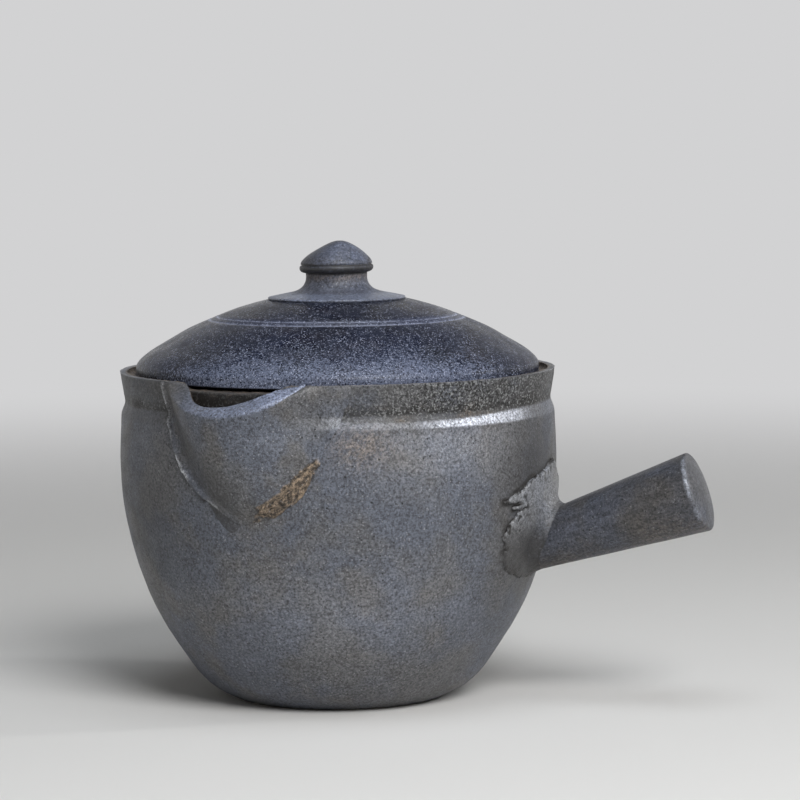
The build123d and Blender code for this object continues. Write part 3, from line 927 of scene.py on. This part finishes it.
def fired_clay(name, tone, cool, warm, pale, grain=1.0, flecks=0.4, streaks=None, streak_depth=0.0):
    """Smoke-fired clay: clouded tints, grains, flecks, pits, and the pale, brown, dark and scorched marks;
    the pale mark also holds painted highlights and sheen, and the dark mark painted shade and shadow.
    """
    m = Clay(name, CLAY_ROUGH[1], 0.5)
    colour = m.mix(m.ramp(m.noise(34, 3, 0.55, shift=3.1), 0.40, 0.60), linear(*tone), linear(*cool))
    colour = m.mix(m.ramp(m.noise(26, 4, 0.6, shift=7.7), 0.50, 0.68, 0.0, 0.7), colour, linear(*warm))
    along_bark = m.stretched((0.45, 1.0, 1.0), (0, math.radians(42), 0))
    bark = m.noise(1.5, 5, 0.78, place=along_bark, shift=6.0)
    ochre = m.mix(m.ramp(bark, 0.40, 0.60), linear(42, 37, 33), linear(146, 128, 108))
    colour = m.mix(m.mark("brown"), colour, ochre)
    patchy = m.ramp(m.noise(0.9, 3, 0.8, shift=17.0), 0.33, 0.67, 0.45, 1.35)
    # The pale mark holds painted highlights and painted sheen besides paler wear.
    colour = m.mix(m.math("MULTIPLY", m.mark("pale"), patchy), colour, linear(*pale))
    if streaks:
        lines = m.noise(1.5, 4, 0.6, place=m.stretched(*streaks), shift=11.0)
    else:
        lines = m.noise(3.0, 4, 0.6)
    clouds = m.noise(6.5, 4, 0.6, shift=1.3)
    grains = m.noise(1.1, 4, 0.8, shift=2.3)
    for value, least, most in (
            (lines, 1 - streak_depth, 1 + streak_depth), (clouds, 0.88, 1.12), (grains, 0.24, 1.84)):
        colour = m.mix(1.0, colour, m.grey(m.ramp(value, 0.30, 0.70, least, most)), "MULTIPLY")
    lit = m.ramp(m.cells(1.1, "Color"), 0.66, 0.78)
    fleck = m.math("MULTIPLY", m.ramp(m.cells(1.1), 0.36, 0.18), lit)
    colour = m.mix(m.math("MULTIPLY", fleck, flecks), colour, linear(180, 180, 184))
    few = m.ramp(m.noise(12, 3, 0.6, shift=5.5), 0.40, 0.58)
    pit = m.math("MULTIPLY", m.ramp(m.cells(3.1), 0.17, 0.08), few)
    colour = m.mix(m.math("MULTIPLY", pit, 0.85), colour, linear(24, 23, 23))
    # Breaks up the dark mark, which holds painted shade and painted shadow besides darker clay.
    dark_breakup = m.ramp(m.noise(1.6, 4, 0.7, shift=8.8), 0.30, 0.52, 0.55, 0.95)
    spots = m.ramp(m.noise(1.1, 1, 0.5, shift=21.0), 0.49, 0.55, 0.0, 0.95)
    bare = m.ramp(m.noise(1.0, 1, 0.5, shift=27.0), 0.56, 0.62, 0.0, 0.5)
    for mark, share, over in (
            ("dark", dark_breakup, (40, 38, 37)), ("scorch", spots, (16, 15, 15)), ("scorch", bare, (164, 166, 166))):
        colour = m.mix(m.math("MULTIPLY", m.mark(mark), share), colour, linear(*over))
    relief = m.bump(m.noise(7.0, 3, 0.5, shift=2.0), 0.16)
    relief = m.bump(lines, 0.12 if streaks else 0.05, relief)
    relief = m.bump(grains, 0.22 * grain, relief)
    relief = m.bump(m.math("MULTIPLY", bark, m.mark("brown")), 0.8, relief)
    relief = m.bump(pit, -0.35, relief)
    shine = m.ramp(m.noise(16, 4, 0.6, shift=9.0), 0.35, 0.68, *CLAY_ROUGH)
    shine = m.math("ADD", shine, m.math("MULTIPLY", m.mark("brown"), 0.2))
    shine = m.math("SUBTRACT", shine, m.math("MULTIPLY", m.mark("pale"), 0.23))
    return m.finish(colour, relief, shine)


CLAY = ((88, 88, 90), (84, 88, 98), (90, 87, 84))
pot_clay = fired_clay(
    "pot_clay", *CLAY, pale=(198, 202, 213), streaks=((0.05, 0.05, 1.0),), streak_depth=0.05)
spout_clay = fired_clay("spout_clay", *CLAY, pale=(126, 134, 156))
luting_clay = fired_clay("luting_clay", *CLAY, pale=(172, 174, 178), grain=1.4)
handle_clay = fired_clay(
    "handle_clay", (64, 64, 67), (65, 68, 77), (69, 66, 63), pale=(124, 128, 138), flecks=0.2,
    streaks=((0.10, 1.0, 1.0), (0, math.radians(HANDLE_RISE), 0)), streak_depth=0.28)
knob_clay = fired_clay("knob_clay", (75, 78, 89), (80, 85, 100), (75, 71, 71), pale=(124, 132, 153))


def lid_body():
    """A near-black, slightly glossy clay full of pale grains."""
    m = Clay("lid_clay", 0.30, 0.20)
    colour = m.mix(m.ramp(m.noise(34, 4, 0.6), 0.35, 0.65), linear(17, 19, 29), linear(27, 32, 50))
    colour = m.mix(m.ramp(m.noise(18, 4, 0.6, shift=3.0), 0.5, 0.7, 0.0, 0.6), colour, linear(36, 32, 40))
    grains = m.ramp(m.noise(0.9, 4, 0.75, shift=1.0), 0.3, 0.7, 0.5, 1.5)
    colour = m.mix(1.0, colour, m.grey(grains), "MULTIPLY")
    # Pale specks all over, thickened into a painted sheen on the lower part of the dome.
    dust_and_sheen = m.math("ADD", m.noise(0.75, 3, 0.8, shift=14.0), m.ramp(m.mark("wear_and_highlight"), 0.0, 1.0, -0.045, 0.18))
    colour = m.mix(m.ramp(dust_and_sheen, 0.54, 0.74, 0.0, 0.8), colour, linear(118, 126, 148))
    for size, share, edge, rare in ((0.72, 0.75, 0.44, 0.50), (1.15, 0.95, 0.32, 0.66)):
        lit = m.ramp(m.cells(size, "Color"), rare, rare + 0.15)
        spot = m.math("MULTIPLY", m.ramp(m.cells(size), edge, edge * 0.4), lit)
        colour = m.mix(m.math("MULTIPLY", spot, share), colour, linear(170, 176, 198))
    # The grooves are painted paler: a painted highlight.
    wear_and_highlight = m.math("MULTIPLY", m.mark("pale"), m.ramp(m.noise(1.4, 3, 0.6, shift=12.0), 0.35, 0.55, 0.25, 1.0))
    colour = m.mix(wear_and_highlight, colour, linear(168, 175, 200))
    relief = m.bump(m.noise(6.0, 3, 0.5, shift=2.0), 0.14)
    relief = m.bump(m.noise(0.95, 4, 0.75, shift=5.0), 0.18, relief)
    shine = m.ramp(m.noise(12, 4, 0.6, shift=9.0), 0.35, 0.65, 0.24, 0.36)
    return m.finish(colour, relief, shine)


lid_clay = lid_body()
for made, material in (
        (pot_body, pot_clay), (spout, spout_clay), (spout_luting, luting_clay), (handle, handle_clay),
        (handle_luting, luting_clay), (lid, lid_clay), (knob, knob_clay)):
    made.data.materials.append(material)


# ---- Stage ----

PALE = linear(210, 210, 211)
FLOOR_RADIUS, BEND, WALL_TOP, SIDES = 2.4, 0.5, 2.6, 96


def backdrop():
    """A pale floor that curves up far away into a plain wall all round."""
    line = [(0.001, 0.0), (FLOOR_RADIUS / 4, 0.0), (FLOOR_RADIUS / 2, 0.0), (FLOOR_RADIUS, 0.0)]
    for t in np.radians(np.arange(6, 91, 6)):
        line.append((FLOOR_RADIUS + BEND * math.sin(t), BEND - BEND * math.cos(t)))
    line += [(FLOOR_RADIUS + BEND, WALL_TOP), (0.0, WALL_TOP)]
    points, faces = turned(np.array([(0.0, 0.0), *line]), circle(SIDES))
    faces = [[v for v in face if v >= 0] for face in faces[:-SIDES].tolist()]
    mesh = bpy.data.meshes.new("studio_floor")
    mesh.from_pydata(points[:-1].tolist(), [], faces)
    mesh.polygons.foreach_set("use_smooth", np.ones(len(mesh.polygons), bool))
    made = bpy.data.objects.new("studio_floor", mesh)
    bpy.context.scene.collection.objects.link(made)
    m = Clay("studio_floor", 0.9, 0.2)
    m.shader.inputs["Base Color"].default_value = linear(222, 221, 219)
    ray = m.tree.nodes.new("ShaderNodeLightPath").outputs
    seen = m.math("MAXIMUM", ray["Is Glossy Ray"], ray["Is Transmission Ray"])
    seen = m.math("MAXIMUM", ray["Is Camera Ray"], seen)
    glow = m.tree.nodes.new("ShaderNodeEmission")
    glow.inputs["Color"].default_value = PALE
    blend = m.tree.nodes.new("ShaderNodeMixShader")
    far = m.tree.nodes.new("ShaderNodeVectorMath")
    far.operation = "LENGTH"
    m.put(far.inputs[0], m.place)
    far = m.ramp(far.outputs["Value"], 0.40, 1.6)
    low = m.ramp(m.height("Z"), 0.7, 2.5, 1.0, 0.1)
    m.put(blend.inputs[0], m.math("MULTIPLY", m.math("MULTIPLY", far, low), seen))
    m.put(blend.inputs[1], m.shader.outputs[0])
    m.put(blend.inputs[2], glow.outputs[0])
    m.put(m.tree.nodes["Material Output"].inputs["Surface"], blend.outputs[0])
    mesh.materials.append(m.made)


backdrop()


def lamp(name, place, aim, size, power, colour=(1, 1, 1)):
    light = bpy.data.lights.new(name, "AREA")
    light.shape, light.size, light.energy, light.color = "DISK", size, power, colour
    made = bpy.data.objects.new(name, light)
    made.location = place
    made.rotation_mode = "QUATERNION"
    made.rotation_quaternion = (Vector(aim) - Vector(place)).to_track_quat("-Z", "Y")
    bpy.context.scene.collection.objects.link(made)


AIM = (0, 0, 0.09)
lamp("key", (0.95, -1.10, 1.20), AIM, 1.0, 27.0)
lamp("side", (1.64, 0.50, 0.90), AIM, 0.14, 5.0)
lamp("sky", (0.15, -0.30, 1.45), AIM, 0.95, 6.0, (0.90, 0.95, 1.0))

world = bpy.data.worlds.new("studio")
bpy.context.scene.world = world
world.use_nodes = True
tree = world.node_tree
tree.nodes["Background"].inputs["Color"].default_value = (1, 1, 1, 1)
tree.nodes["Background"].inputs["Strength"].default_value = 0.07
bpy.context.scene.view_settings.view_transform = "Standard"


# ---- Camera ----

AZIMUTH, ELEVATION, ROLL = map(math.radians, (17.0, 5.06, 0.6))
TARGET, DISTANCE, LENS = (0.02585, 0.0079, 0.12824), 1.505868, 155.404
away = math.cos(ELEVATION)
back = Vector((math.sin(AZIMUTH) * away, -math.cos(AZIMUTH) * away, math.sin(ELEVATION)))
level = Vector((math.cos(AZIMUTH), math.sin(AZIMUTH), 0))
upright = back.cross(level)
right = level * math.cos(ROLL) - upright * math.sin(ROLL)
up = level * math.sin(ROLL) + upright * math.cos(ROLL)
data = bpy.data.cameras.new("camera")
data.lens, data.sensor_width, data.clip_start, data.clip_end = LENS, 36.0, 0.05, 20.0
camera = bpy.data.objects.new("camera", data)
bpy.context.scene.collection.objects.link(camera)
spot = Vector(TARGET) + back * DISTANCE
camera.matrix_world = Matrix((*zip(right, up, back, spot), (0, 0, 0, 1)))
bpy.context.scene.camera = camera
